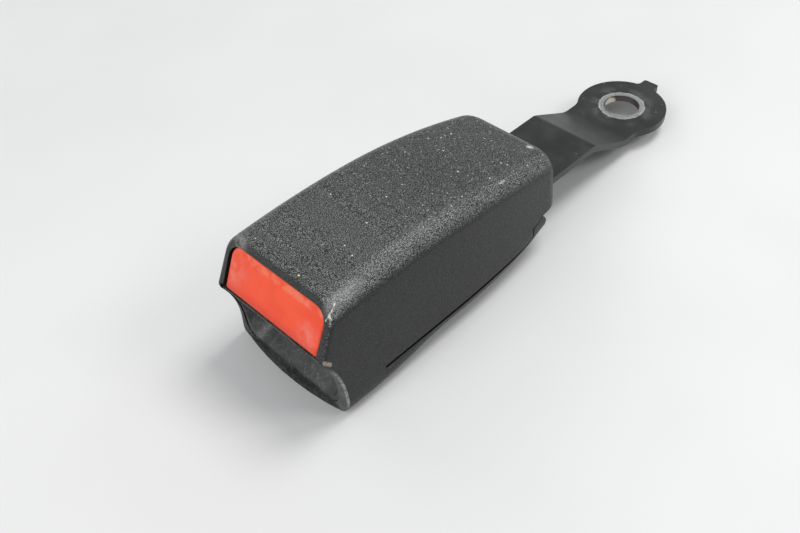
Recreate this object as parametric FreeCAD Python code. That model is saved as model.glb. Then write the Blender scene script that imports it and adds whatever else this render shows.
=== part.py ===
import FreeCAD, Part
import functools
import math
import os

# Seat belt buckle with an end release button and a bent steel anchor strap.
# Everything is drawn in millimetres from the nose of the housing: x runs from the mouth back to the
# anchor, y to the left of somebody who looks that way, and z up from the table. The last step moves
# every piece so that the centre of the anchor hole is the origin.
# The tongue sets the widths from the inside out, and the mechanism sets the lengths and heights.

# Tongue and the guide that leads it in
tongue_half_width = 13.0
tongue_side_clearance = 0.2
tongue_plane = 13.5
tongue_slot_height = 4.5
guide_throat = 22.0
guide_tail = 2.3
guide_clearance = 0.2
guide_skin = 0.4
guide_recess = 0.4
funnel_place = 4.0
throat_corner_radius = 0.8

# Housing outside
cheek_wall = 2.9
mouth_margin = 1.6
mouth_corner_radius = 7.0
side_draft = 2.1
draft_height = 41.0
taper_start = 47.5
taper_drop = 3.5
crown_rim = 3.9
crown_place = 27.5
crown_radius = 277.0
rear_corner_radius = 7.5
rear_top_drop = 8.0
rear_foot_rise = 2.0
rear_overhang = 13.9
top_edge_radius = 7.0
bottom_edge_radius = 5.0
heel_place = 20.3
belly_rise = 2.5
belly_run = 25.0
tail_rise = 3.6
tail_rise_start = 62.0
tail_rise_run = 32.0
form_start = -12.0
form_stations = 10
outline_tolerance = 0.35
front_edge_radius = 1.5

# Front of the housing, seen from the side
nose_height = 25.3
nose_radius = 2.0
front_lean = 24.4
cheek_mid_place = 3.9
cheek_mid_height = 16.5
cheek_low_place = 5.2
cheek_low_height = 7.0
lip_place = 3.2
lip_height = 0.8
lip_bow = 2.0

# Housing walls and split
wall = 2.2
split_height = 8.4
split_gap = 0.8
seam_gap = 0.12
notch_setback = 2.3
notch_gap = 0.5
notch_height = 12.6
notch_slope_run = 5.8
notch_slope_height = 14.2
tail_height = 9.9
tail_radius = 5.2
overlap_height = 3.0
overlap_thickness = 1.1
overlap_clearance = 0.2
overlap_front_margin = 6.0
overlap_rear_margin = 4.0
overlap_web_drop = 0.4
cavity_front = 12.0
chord_steps = 5
foot_chord_steps = 4
slot_clearance = 0.5

# Release button
button_side_margin = 0.1
button_rise = 0.2
button_height = 12.9
button_corner_radius = 3.8
button_foot_radius = 0.8
button_recess = 0.5
button_wall = 2.0
button_rear = 30.0
button_sole_end = 22.0
button_gap = 0.5
button_edge_radius = 0.7
button_travel = 5.5
channel_spare = 4.5
leg_side_clearance = 1.0
leg_thickness = 2.4
leg_front = 25.0
leg_knee_run = 3.0
leg_root_height = 6.0
leg_reach = 12.0
leg_height = 4.8
leg_head_gap = 0.6
lift_gap = 0.3

# Steel frame
frame_thickness = 2.5
frame_wall = 2.0
frame_front_gap = 0.2
frame_wall_setback = 5.5
frame_tab_margin = 5.0
frame_tail = 0.7
frame_bend_radius = 2.4
frame_inner_radius = 0.3
frame_wall_corner = 4.0
window_clearance = 0.5
window_front_gap = 1.3
window_rear_gap = 1.8
ear_front_gap = 1.5
ear_under_gap = 1.1

# Latch
latch_nose_setback = 9.2
latch_length = 28.5
latch_barrel_radius = 3.3
latch_barrel_clearance = 0.5
latch_plate_rise = 0.5
latch_head_room = 0.54
latch_pin_radius = 2.0
latch_pin_clearance = 0.03
latch_pin_head_radius = 2.8
latch_pin_head_thickness = 0.6
latch_plate_thickness = 2.5
latch_side_clearance = 0.8
latch_top_radius = 1.5
latch_edge_radius = 0.5
latch_nose_thickness = 4.0
latch_nose_half_width = 7.0
latch_nose_depth = 1.3
latch_ramp_height = 3.5
latch_ramp_run = 2.0
latch_lift_angle = 9.0
ear_distance = 19.0
ear_length = 2.5
ear_inset = 0.2
ear_edge_radius = 0.4

# Ejector
ejector_half_width = 6.0
ejector_length = 15.7
ejector_height = 6.0
ejector_chamfer = 1.5
ejector_clearance = 0.2
ejector_gap = 0.8
ejector_travel = 8.0
ejector_bore_radius = 2.4
ejector_bore_floor = 3.7
ejector_neck_setback = 4.0
ejector_neck_half_width = 1.7
ejector_foot_half_width = 3.5
ejector_foot_length = 8.0
ejector_foot_thickness = 1.3

# Springs
button_spring_radius = 1.7
button_spring_wire = 0.5
button_spring_turns = 6
ejector_spring_radius = 2.0
ejector_spring_wire = 0.5
ejector_spring_turns = 9
latch_spring_radius = 3.0
latch_spring_wire = 0.6
latch_spring_turns = 3
latch_spring_gap = 1.0
wire_sides = 6

# Inner plastic pieces
rib_thickness = 1.3
rib_inset = 1.0
cover_thickness = 2.0
cover_gap = 2.5
cover_edge_radius = 0.8
cover_rib_front = 8.0
cover_rib_rear = 3.0
cover_skirt_depth = 2.4
cover_skirt_thickness = 0.6
cover_skirt_gap = 3.0
pivot_gap_front = 4.0
pivot_gap_rear = 2.0
stop_pad_thickness = 1.0
stop_pad_overhang = 1.0
stop_gap = 0.95
bore_margin = 0.3
spring_tab_thickness = 1.6
spring_tab_half_width = 4.0
retainer_length = 5.5
retainer_overlap = 1.5
retainer_arm_height = 5.2
retainer_arm_margin = 1.35
retainer_top_gap = 0.5
retainer_bridge_clearance = 0.4
retainer_wall = 2.0
retainer_back = 1.2
retainer_cheek = 3.0
pad_length = 5.3
pad_inset = 2.9
pad_height = 4.0
pad_gap = 0.05
pad_tail_gap = 0.3
rib_rivet_gap = 2.0
seat_clearance = 0.1

# Anchor strap
strap_thickness = 2.5
strap_side_clearance = 0.3
strap_front_gap = 1.4
strap_reach = 26.5
strap_slope_run = 18.5
strap_drop = 8.7
strap_kink_radius = 2.5
strap_foot_radius = 12.0
anchor_reach = 16.85
anchor_radius = 15.9
anchor_hole_radius = 6.4
neck_radius = 6.0
nib_half_width = 3.0
nib_reach = 3.6
nib_radius = 0.9
nib_root_radius = 2.0
nib_root_spread = 3.0
rivet_radius = 3.0
rivet_play = 0.02
rivet_head_radius = 4.8
rivet_head_height = 1.8
rivet_rim_height = 0.7
rivet_crest_radius = 3.2
rivet_setback = 7.0
rivet_edge_gap = 0.8
rivet_clearance = 0.2

# Widths, from the tongue outwards
frame_inner_half_width = tongue_half_width + tongue_side_clearance
frame_half_width = frame_inner_half_width + frame_wall
latch_half_width = frame_inner_half_width - latch_side_clearance
strap_half_width = frame_inner_half_width - strap_side_clearance
leg_inner = frame_half_width + leg_side_clearance
leg_outer = leg_inner + leg_thickness
ear_reach = leg_outer - ear_inset
button_half_width = leg_outer + button_side_margin
mouth_half_width = button_half_width + mouth_margin
body_half_width = mouth_half_width + cheek_wall
spring_y = (leg_inner + frame_half_width + button_spring_wire) / 2 + button_spring_radius
retainer_half_width = spring_y + retainer_arm_margin
rivet_y = strap_half_width - rivet_head_radius - rivet_edge_gap
pad_half_width = strap_half_width - pad_inset
cover_rib_y = pad_half_width - rib_inset

# Heights, from the face of the frame that the tongue slides on
lean_slope = math.tan(math.radians(front_lean))
lift_slope = math.sin(math.radians(latch_lift_angle))
frame_under = tongue_plane - frame_thickness
strap_top = tongue_plane + strap_thickness
anchor_top = strap_top - strap_drop
slot_top = tongue_plane + tongue_slot_height
button_bottom = nose_height + button_rise
button_top = button_bottom + button_height
crown_height = button_top + crown_rim
ejector_floor = tongue_plane + ejector_clearance
ejector_top = ejector_floor + ejector_height
ejector_bore_height = ejector_floor + ejector_height / 2
latch_pivot_height = ejector_top + latch_barrel_clearance + latch_barrel_radius
latch_top = latch_pivot_height + latch_plate_rise
latch_under = latch_top - latch_plate_thickness
frame_wall_top = latch_top + latch_length * lift_slope + latch_head_room
cover_low = frame_wall_top + pad_gap
ear_lift = ear_distance * lift_slope
leg_top = latch_under - leg_head_gap
leg_bottom = leg_top - leg_height
spring_z = leg_bottom + leg_height / 2

# Places along the buckle, from the mouth to the anchor
guide_end = guide_throat + guide_tail
frame_front = guide_end + frame_front_gap
frame_wall_front = frame_front + frame_wall_setback
latch_nose_place = guide_end + latch_nose_setback
latch_nose_end = latch_nose_place + latch_nose_thickness
latch_pivot_place = latch_nose_place + latch_length
ear_place = latch_pivot_place - ear_distance
latch_spring_place = ear_place + ear_length + latch_spring_radius + latch_spring_gap
leg_end = ear_place + leg_reach
channel_end = button_rear + button_travel + channel_spare
ejector_front = latch_nose_end + ejector_gap
ejector_end = ejector_front + ejector_length
ejector_neck_place = ejector_front + ejector_neck_setback
stop_pad_front = ejector_end + ejector_travel + stop_gap
spring_tab_place = stop_pad_front + stop_pad_thickness + pad_gap
strap_front = spring_tab_place + spring_tab_thickness + strap_front_gap
frame_wall_end = spring_tab_place + frame_tab_margin
retainer_front = frame_wall_end - retainer_overlap
cover_front = button_rear + button_travel + cover_gap
cover_end = retainer_front - seat_clearance
rivet_place = frame_wall_end + rivet_setback
frame_end = rivet_place + rivet_head_radius + frame_tail
end_rib_place = frame_end + seat_clearance
pad_place = end_rib_place + rib_thickness + seat_clearance
pad_end = pad_place + pad_length
tail_place = pad_end + pad_tail_gap
notch_place = tail_place - notch_setback
notch_slope_end = notch_place + notch_slope_run
body_length = tail_place + rear_overhang
strap_kink = body_length + strap_reach
strap_slope_end = strap_kink + strap_slope_run
anchor_place = strap_slope_end + anchor_reach
FAR = 60.0


def vec(x, y, z):
    return FreeCAD.Vector(x, y, z)


def block(x0, x1, y0, y1, z0, z1):
    return Part.makeBox(x1 - x0, y1 - y0, z1 - z0, vec(x0, y0, z0))


def both_sides(shape):
    return [shape, shape.mirror(vec(0, 0, 0), vec(0, 1, 0))]


def rod_y(x, z, radius, y0, y1):
    return Part.makeCylinder(radius, y1 - y0, vec(x, y0, z), vec(0, 1, 0))


def rod_z(x, y, radius, z0, z1):
    return Part.makeCylinder(radius, z1 - z0, vec(x, y, z0), vec(0, 0, 1))


def rod_x(y, z, radius, x0, x1):
    return Part.makeCylinder(radius, x1 - x0, vec(x0, y, z), vec(1, 0, 0))


def closed_face(points, place):
    # points are (a, b) or (a, b, corner radius); place turns a, b into a vector
    edges = []
    count = len(points)
    starts, ends, arcs = [], [], []
    for i in range(count):
        a = points[i - 1]
        b = points[i]
        c = points[(i + 1) % count]
        radius = b[2] if len(b) > 2 else 0
        if not radius:
            starts.append(b[:2])
            ends.append(b[:2])
            arcs.append(None)
            continue
        ua, ub = a[0] - b[0], a[1] - b[1]
        va, vb = c[0] - b[0], c[1] - b[1]
        lu, lv = math.hypot(ua, ub), math.hypot(va, vb)
        ua, ub, va, vb = ua / lu, ub / lu, va / lv, vb / lv
        half = math.acos(max(-1, min(1, ua * va + ub * vb))) / 2
        back = radius / math.tan(half)
        middle = radius / math.sin(half) - radius
        ma, mb = ua + va, ub + vb
        lm = math.hypot(ma, mb)
        starts.append((b[0] + ua * back, b[1] + ub * back))
        ends.append((b[0] + va * back, b[1] + vb * back))
        arcs.append((b[0] + ma / lm * middle, b[1] + mb / lm * middle))
    for i in range(count):
        if arcs[i]:
            arc = Part.Arc(place(*starts[i]), place(*arcs[i]), place(*ends[i]))
            edges.append(arc.toShape())
        j = (i + 1) % count
        if math.dist(ends[i], starts[j]) > 1e-6:
            edges.append(Part.makeLine(place(*ends[i]), place(*starts[j])))
    return Part.Face(Part.Wire(edges))


def plate_xz(points, y0, y1):
    face = closed_face(points, lambda a, b: vec(a, y0, b))
    return face.extrude(vec(0, y1 - y0, 0))


def plate_xy(points, z0, z1):
    face = closed_face(points, lambda a, b: vec(a, b, z0))
    return face.extrude(vec(0, 0, z1 - z0))


def plate_yz(points, x0, x1):
    face = closed_face(points, lambda a, b: vec(x0, a, b))
    return face.extrude(vec(x1 - x0, 0, 0))


def round_edges(shape, radius, test):
    # rounds each edge whose middle and quarter points all pass the test
    chosen = []
    for edge in shape.Edges:
        first, last = edge.ParameterRange
        spots = [edge.valueAt(first + (last - first) * k) for k in (0.25, 0.5, 0.75)]
        if all(test(p) for p in spots):
            chosen.append(edge)
    return shape.makeFillet(radius, chosen)


def crown(x, inset=0.0):
    radius = crown_radius - inset
    return crown_height - crown_radius + math.sqrt(radius ** 2 - (x - crown_place) ** 2)


def taper_radius():
    run = body_length - taper_start
    return (run ** 2 + taper_drop ** 2) / (2 * taper_drop)


def half_width(x, z, inset=0.0):
    # half the width of the housing at a place along it and a height
    width = body_half_width - side_draft * z / draft_height
    if x <= taper_start:
        return width - inset
    radius = taper_radius()
    return width - radius + math.sqrt((radius - inset) ** 2 - (x - taper_start) ** 2)


def smooth_step(share):
    share = min(max(share, 0.0), 1.0)
    return share * share * (3 - 2 * share)


def belly(x, inset=0.0):
    # the underside lifts behind the heel and again towards the rear end
    rise = belly_rise * smooth_step((x - heel_place) / belly_run)
    return inset + rise + tail_rise * (max(x - tail_rise_start, 0.0) / tail_rise_run) ** 2


def chord_corner(y, z, radius, quarter, steps):
    # points on a quarter circle that rounds the square corner y, z
    side = 1 if quarter in (0, 3) else -1
    up = 1 if quarter in (0, 1) else -1
    turns = [math.pi / 2 * (quarter + i / steps) for i in range(steps + 1)]
    return [(y + radius * (math.cos(t) - side), z + radius * (math.sin(t) - up)) for t in turns]


def body_section(x, inset, narrow=0.0, drop=0.0, rise=0.0):
    # the outer form has true arcs on top; small and hidden corners are short chords
    top = crown(x, inset) - drop
    low = belly(x, inset) + rise
    low_width = half_width(x, low, inset) - narrow
    top_width = half_width(x, top, inset) - narrow
    top_radius = top_edge_radius - inset
    if inset:
        right = chord_corner(top_width, top, top_radius, 0, chord_steps)
        left = chord_corner(-top_width, top, top_radius, 1, chord_steps)
        points = [(low_width, low)] + right + left + [(-low_width, low)]
    else:
        points = chord_corner(low_width, low, bottom_edge_radius, 3, foot_chord_steps)
        points += [(top_width, top, top_radius), (-top_width, top, top_radius)]
        points += chord_corner(-low_width, low, bottom_edge_radius, 2, foot_chord_steps)
    return closed_face(points, lambda a, b: vec(x, a, b)).OuterWire


@functools.lru_cache(None)
def body_form(inset):
    # the smooth outer form with its front left long, or the same form moved in by a wall
    rear = body_length - inset
    corner = rear_corner_radius - inset
    step = (rear - corner - form_start) / form_stations
    wires = [body_section(form_start + step * i, inset) for i in range(form_stations + 1)]
    main_part = Part.makeLoft(wires, True, False, False, 3)
    wires = wires[-1:]
    for angle in range(15, 91, 15):
        turn = math.radians(angle)
        share = 1 - math.cos(turn)
        place = rear - corner + corner * math.sin(turn)
        wires.append(body_section(place, inset, corner * share, (rear_top_drop - inset) * share,
                                  (rear_foot_rise - inset) * share))
    return main_part.fuse(Part.makeLoft(wires, True, False, False, 3))


def front_cut(shift=0.0):
    # what is cut off in front: the leaning face, the swept cheek edges and the lip
    nose = vec(shift, -FAR, nose_height)
    cheek_mid = vec(cheek_mid_place + shift, -FAR, cheek_mid_height)
    cheek_low = vec(cheek_low_place + shift, -FAR, cheek_low_height)
    top = vec(FAR * lean_slope + shift, -FAR, nose_height + FAR)
    bottom = vec(cheek_low_place + shift, -FAR, -FAR / 3)
    far_low = vec(-FAR, -FAR, -FAR / 3)
    far_high = vec(-FAR, -FAR, nose_height + FAR)
    edges = [Part.makeLine(top, nose), Part.Arc(nose, cheek_mid, cheek_low).toShape(),
             Part.makeLine(cheek_low, bottom), Part.makeLine(bottom, far_low),
             Part.makeLine(far_low, far_high), Part.makeLine(far_high, top)]
    tool = Part.Face(Part.Wire(edges)).extrude(vec(0, 2 * FAR, 0))
    return round_edges(tool, nose_radius, lambda p: math.dist((p.x, p.z), (shift, nose_height)) < 0.1)


def on_outside(p):
    # true for a point on the top, the sides or the rounded top edges of the housing
    across = abs(p.y) - (half_width(p.x, crown(p.x)) - top_edge_radius)
    up = p.z - (crown(p.x) - top_edge_radius)
    if across > 0 and up > 0:
        return abs(math.hypot(across, up) - top_edge_radius) < outline_tolerance
    return up > top_edge_radius - outline_tolerance or abs(p.y) > half_width(p.x, p.z) - outline_tolerance


def on_front_outline(p):
    # true for a point on an outer edge of the leaning front face
    on_face = abs(p.x - (p.z - nose_height) * lean_slope) < outline_tolerance
    return on_face and p.z > nose_height and on_outside(p)


def bowed_blank(low, high, recess=0.0):
    # the bowed foot of the mouth, between two heights
    ends = mouth_half_width - front_edge_radius / 2
    rear = cheek_low_place + lip_bow
    side_x = cheek_low_place + recess
    edges = [Part.makeLine(vec(rear, -ends, low), vec(side_x, -ends, low)),
             Part.Arc(vec(side_x, -ends, low), vec(lip_place + recess, 0, low), vec(side_x, ends, low)).toShape(),
             Part.makeLine(vec(side_x, ends, low), vec(rear, ends, low)),
             Part.makeLine(vec(rear, ends, low), vec(rear, -ends, low))]
    return Part.Face(Part.Wire(edges)).extrude(vec(0, 0, high - low))


def mouth_opening(inset, x0, x1):
    # the section of the mouth, with round lower corners
    side = mouth_half_width - inset
    low = lip_height + inset
    corner = mouth_corner_radius - inset
    high = button_bottom + 1 if not inset else button_bottom - lift_gap
    return plate_yz([(side, low, corner), (side, high), (-side, high), (-side, low, corner)], x0, x1)


def cover_region(seam, split, notch):
    # side view of what belongs to the lower cover, smaller by the gaps of the split line
    points = [(heel_place + seam, -FAR), (heel_place + seam, split_height - split),
              (notch_place + notch, split_height - split), (notch_place + notch, notch_height - notch),
              (notch_slope_end, notch_slope_height - notch), (2 * body_length, notch_slope_height - notch),
              (2 * body_length, -FAR)]
    return plate_xz(points, -FAR, FAR)


def tail_region(inset):
    # everything in front of the rounded tail that the lower cover ends in
    front = block(-FAR, tail_place, -FAR, FAR, -FAR, FAR)
    return front.fuse(rod_y(tail_place, tail_height, tail_radius - inset, -FAR, FAR))


def button_section(grow, x0, x1):
    side = button_half_width + grow
    radius = button_corner_radius + grow
    foot = button_foot_radius if not grow else 0
    corners = [(side, button_bottom, foot), (side, button_top + grow, radius),
               (-side, button_top + grow, radius), (-side, button_bottom, foot)]
    return plate_yz(corners, x0, x1)


def strap_slot():
    side = strap_half_width + slot_clearance
    return block(body_length / 2, 2 * body_length, -side, side, tongue_plane - slot_clearance,
                 strap_top + slot_clearance)


def upper_housing():
    shell = body_form(0.0).cut(front_cut())
    shell = shell.cut(mouth_opening(0.0, -FAR, guide_end))
    shell = shell.cut(button_section(button_gap, -FAR, channel_end))
    shell = round_edges(shell, front_edge_radius, on_front_outline)
    shell = shell.cut(cover_region(0.0, 0.0, 0.0))
    shell = shell.cut(body_form(wall).common(block(cavity_front, 2 * body_length, -FAR, FAR, -FAR, FAR)))
    shell = shell.cut(strap_slot())
    ribs = []
    for side in (-1, 1):
        y = side * cover_rib_y
        ribs.append(block(cover_front + cover_rib_front, cover_end - cover_rib_rear, y - rib_thickness / 2,
                          y + rib_thickness / 2, cover_low + cover_thickness + pad_gap, FAR))
    for x in (pad_place, pad_end - rib_thickness):
        ribs.append(block(x, x + rib_thickness, -pad_half_width, pad_half_width,
                          strap_top + pad_gap + pad_height + pad_gap, FAR))
    for rib in ribs:
        shell = shell.fuse(rib.common(body_form(wall / 2)))
    return shell.fuse(bowed_blank(-1, lip_height).common(body_form(0.0)))


def lower_cover():
    inside = body_form(wall).common(tail_region(wall))
    shell = body_form(0.0).common(cover_region(seam_gap, split_gap, notch_gap)).common(tail_region(0.0)).cut(inside)
    front = heel_place + overlap_front_margin
    rear = notch_place - overlap_rear_margin
    foot = wall + belly_rise / 2
    lip_inner = body_form(wall + overlap_clearance + overlap_thickness)
    lip = body_form(wall + overlap_clearance).cut(lip_inner)
    lip = lip.common(block(front, rear, -FAR, FAR, foot, split_height + overlap_height))
    web = body_form(wall - overlap_clearance).cut(lip_inner)
    web = web.common(block(front, rear, -FAR, FAR, foot, split_height - split_gap - overlap_web_drop))
    shell = shell.fuse(lip).fuse(web)
    ribs = []
    for side in (-1, 1):
        y = side * cover_rib_y
        ribs.append(block(frame_wall_front, rivet_place - rivet_head_radius - rib_rivet_gap, y - rib_thickness / 2,
                          y + rib_thickness / 2, 0, frame_under - seat_clearance))
    ribs.append(block(end_rib_place, end_rib_place + rib_thickness, -pad_half_width, pad_half_width, 0,
                      tongue_plane - seat_clearance))
    for x in (pad_place, pad_end - rib_thickness):
        ribs.append(block(x, x + rib_thickness, -pad_half_width, pad_half_width, 0,
                          tongue_plane - pad_gap - pad_height - pad_gap))
    for rib in ribs:
        shell = shell.fuse(rib.common(body_form(wall / 2)))
    return shell.cut(strap_slot())


def tongue_guide():
    outside = mouth_opening(guide_clearance, 0, guide_end)
    body = outside.cut(front_cut(guide_recess))
    foot = bowed_blank(lip_height + guide_clearance, lip_height + guide_clearance + guide_skin, guide_recess)
    body = body.fuse(foot.common(outside))
    inset = guide_clearance + guide_skin
    side = mouth_half_width - inset
    low = lip_height + inset
    high = button_bottom - lift_gap - guide_skin
    corner = mouth_corner_radius - inset
    mouth = [(-side, low, corner), (side, low, corner), (side, high), (-side, high)]
    throat = [(-tongue_half_width, tongue_plane, throat_corner_radius),
              (tongue_half_width, tongue_plane, throat_corner_radius),
              (tongue_half_width, slot_top), (-tongue_half_width, slot_top)]
    wires = [closed_face(mouth, lambda a, b: vec(funnel_place, a, b)).OuterWire,
             closed_face(throat, lambda a, b: vec(guide_throat, a, b)).OuterWire]
    body = body.cut(Part.makeLoft(wires, True, True))
    body = body.cut(plate_yz(mouth, -1, funnel_place))
    over_cover = belly(guide_end, wall) + guide_clearance
    body = body.cut(block(heel_place - guide_clearance, guide_end, -FAR, FAR, 0, over_cover))
    return body.cut(block(guide_throat, guide_end, -tongue_half_width, tongue_half_width, tongue_plane, slot_top))


def lean_place(z, recess):
    # where the button's leaning face lies at a height
    return (z - nose_height) * lean_slope + recess


def release_button():
    rake = [(lean_place(-FAR, button_recess), -FAR), (lean_place(FAR, button_recess), FAR), (-FAR, FAR), (-FAR, -FAR)]
    body = button_section(0.0, -FAR / 3, button_rear).cut(plate_xz(rake, -FAR, FAR))
    on_face = lambda p: abs(p.x - lean_place(p.z, button_recess)) < 0.02
    body = round_edges(body, button_edge_radius, on_face)
    skin = button_wall
    inner_side = button_half_width - skin
    inner = [(inner_side, button_bottom + skin), (inner_side, button_top - skin, button_corner_radius - skin),
             (-inner_side, button_top - skin, button_corner_radius - skin), (-inner_side, button_bottom + skin)]
    hollow = plate_yz(inner, -FAR / 3, FAR)
    back = button_recess + skin / math.cos(math.radians(front_lean))
    rake_in = [(lean_place(-FAR, back), -FAR), (lean_place(FAR, back), FAR), (-FAR, FAR), (-FAR, -FAR)]
    body = body.cut(hollow.cut(plate_xz(rake_in, -FAR, FAR)))
    body = body.cut(block(button_sole_end, FAR, -inner_side, inner_side, button_bottom - 1, button_bottom + skin))
    ramp_low = latch_under - lift_gap
    ramp_high = ramp_low + ear_lift
    ramp_foot = ear_place - seat_clearance
    knee = (button_bottom + leg_bottom) / 2
    root = button_bottom + leg_root_height
    leg = [(button_sole_end, button_bottom), (leg_front, button_bottom), (leg_front, knee),
           (leg_front + leg_knee_run, leg_bottom), (leg_end, leg_bottom), (leg_end, leg_top),
           (ramp_foot + lift_gap, ramp_low), (ramp_foot, ramp_low), (ramp_foot - button_travel, ramp_high),
           (button_rear + leg_knee_run, ramp_high), (button_rear, root), (button_sole_end, root)]
    bar = plate_xz(leg, leg_inner, leg_outer)
    for arm in both_sides(bar):
        body = body.fuse(arm)
    return body.removeSplitter()


def buckle_frame():
    side = frame_half_width
    outer = [(side, frame_wall_top), (side, frame_under, frame_bend_radius),
             (-side, frame_under, frame_bend_radius), (-side, frame_wall_top)]
    inside = frame_inner_half_width
    inner = [(inside, frame_wall_top + 1), (inside, tongue_plane, frame_inner_radius), (-inside, tongue_plane, frame_inner_radius),
             (-inside, frame_wall_top + 1)]
    frame = plate_yz(outer, frame_front, frame_end).cut(plate_yz(inner, frame_front - 1, frame_end + 1))
    over = block(frame_front - 1, frame_wall_front, -FAR, FAR, tongue_plane, FAR)
    over = over.fuse(block(frame_wall_end, frame_end + 1, -FAR, FAR, tongue_plane, FAR))
    frame = frame.cut(over)
    corner = frame_wall_corner
    for x, turn in ((frame_wall_front, 1), (frame_wall_end, -1)):
        cut = plate_xz([(x, frame_wall_top), (x + turn * corner, frame_wall_top), (x, frame_wall_top - corner)],
                       -FAR, FAR)
        frame = frame.cut(cut)
    gap = window_clearance
    frame = frame.cut(block(latch_nose_place - window_front_gap, latch_nose_end + window_rear_gap,
                            -latch_nose_half_width - gap, latch_nose_half_width + gap, -FAR, tongue_plane + 1))
    slot_end = ejector_neck_place + ejector_foot_length + ejector_travel + gap
    neck = ejector_neck_half_width + gap
    frame = frame.cut(block(ejector_neck_place - gap, slot_end, -neck, neck, -FAR, tongue_plane + 1))
    frame = frame.cut(block(ear_place - ear_front_gap, ear_place + ear_length + gap, -FAR, FAR,
                            latch_under - ear_under_gap, FAR))
    frame = frame.cut(rod_y(latch_pivot_place, latch_pivot_height, latch_pin_radius, -FAR, FAR))
    tab = block(spring_tab_place, spring_tab_place + spring_tab_thickness, -spring_tab_half_width,
                spring_tab_half_width, frame_under, ejector_top)
    frame = frame.fuse(tab)
    for y in (-rivet_y, rivet_y):
        frame = frame.cut(rod_z(rivet_place, y, rivet_radius, -FAR, FAR))
    return frame.removeSplitter()


def strap_outline():
    reach = anchor_radius + neck_radius
    neck_x = anchor_place - math.sqrt(reach ** 2 - (strap_half_width + neck_radius) ** 2)
    side = (anchor_place - neck_x) / reach
    rise = (strap_half_width + neck_radius) / reach
    touch = vec(anchor_place - anchor_radius * side, anchor_radius * rise, 0)
    bend = math.atan2(rise, side)
    sweep = (math.pi / 2 - bend) / 2
    neck_mid = vec(neck_x + neck_radius * math.sin(sweep), strap_half_width + neck_radius
                   - neck_radius * math.cos(sweep), 0)
    left = [vec(strap_front, strap_half_width, 0), vec(neck_x, strap_half_width, 0), neck_mid, touch]
    right = [vec(p.x, -p.y, 0) for p in left]
    tip = vec(anchor_place + anchor_radius, 0, 0)
    edges = [Part.makeLine(left[0], left[1]), Part.Arc(left[1], left[2], left[3]).toShape(),
             Part.Arc(left[3], tip, right[3]).toShape(), Part.Arc(right[3], right[2], right[1]).toShape(),
             Part.makeLine(right[1], right[0]), Part.makeLine(right[0], left[0])]
    return Part.Face(Part.Wire(edges))


def anchor_strap():
    slope = math.atan2(strap_drop, strap_slope_end - strap_kink)
    half = strap_thickness * math.tan(slope / 2)
    far = anchor_place + 2 * anchor_radius
    top = [(strap_kink, strap_top, strap_kink_radius + strap_thickness),
           (strap_slope_end, anchor_top, strap_foot_radius), (far, anchor_top)]
    low = [(far, anchor_top - strap_thickness),
           (strap_slope_end - half, anchor_top - strap_thickness, strap_foot_radius + strap_thickness),
           (strap_kink - half, tongue_plane, strap_kink_radius)]
    side = [(strap_front, tongue_plane), (strap_front, strap_top)] + top + low
    bent = plate_xz(side, -FAR, FAR)
    blank = strap_outline().extrude(vec(0, 0, FAR))
    tip = anchor_place + anchor_radius + nib_reach
    spread = nib_half_width + nib_root_spread
    root = anchor_place + math.sqrt(anchor_radius ** 2 - nib_half_width ** 2)
    flare = anchor_place + math.sqrt(anchor_radius ** 2 - spread ** 2)
    middle = anchor_place + (anchor_radius + anchor_hole_radius) / 2
    near_side = [(middle, spread), (flare, spread), (root, nib_half_width, nib_root_radius),
                 (tip, nib_half_width, nib_radius)]
    nib = plate_xy(near_side + [(p[0], -p[1], *p[2:]) for p in reversed(near_side)], 0, FAR)
    strap = bent.common(blank.fuse(nib).removeSplitter())
    strap = strap.cut(rod_z(anchor_place, 0, anchor_hole_radius, -FAR, FAR))
    for y in (-rivet_y, rivet_y):
        strap = strap.cut(rod_z(rivet_place, y, rivet_radius, -FAR, FAR))
    return strap.removeSplitter()


def frame_rivets():
    rivets = []
    for y in (-rivet_y, rivet_y):
        rivet = rod_z(rivet_place, y, rivet_radius - rivet_play, frame_under, strap_top)
        for z, turn in ((strap_top, 1), (frame_under, -1)):
            head = Part.makeCylinder(rivet_head_radius, rivet_rim_height, vec(rivet_place, y, z), vec(0, 0, turn))
            crest = vec(rivet_place, y, z + turn * rivet_rim_height)
            dome = Part.makeCone(rivet_head_radius, rivet_crest_radius, rivet_head_height - rivet_rim_height,
                                 crest, vec(0, 0, turn))
            rivet = rivet.fuse(head).fuse(dome)
        rivets.append(rivet.removeSplitter())
    return Part.makeCompound(rivets)


def latch():
    nose_low = tongue_plane - latch_nose_depth
    rear = latch_nose_end
    side = [(latch_nose_place, latch_top, latch_top_radius), (latch_nose_place, tongue_plane + latch_ramp_height),
            (latch_nose_place + latch_ramp_run, nose_low), (rear, nose_low)]
    nose = plate_xz(side + [(rear, latch_top)], -latch_nose_half_width, latch_nose_half_width)
    plate = plate_xz([(latch_nose_place, latch_top, latch_top_radius),
                      (latch_nose_place, latch_under, latch_edge_radius),
                      (latch_pivot_place, latch_under), (latch_pivot_place, latch_top)],
                     -latch_half_width, latch_half_width)
    barrel = rod_y(latch_pivot_place, latch_pivot_height, latch_barrel_radius, -latch_half_width, latch_half_width)
    edge = ear_edge_radius
    ears = plate_xz([(ear_place, latch_top, edge), (ear_place, latch_under, edge),
                     (ear_place + ear_length, latch_under, edge), (ear_place + ear_length, latch_top, edge)],
                    -ear_reach, ear_reach)
    body = plate.fuse(nose).fuse(barrel).fuse(ears)
    hole = rod_y(latch_pivot_place, latch_pivot_height, latch_pin_radius + latch_pin_clearance, -FAR, FAR)
    return body.cut(hole).removeSplitter()


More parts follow.
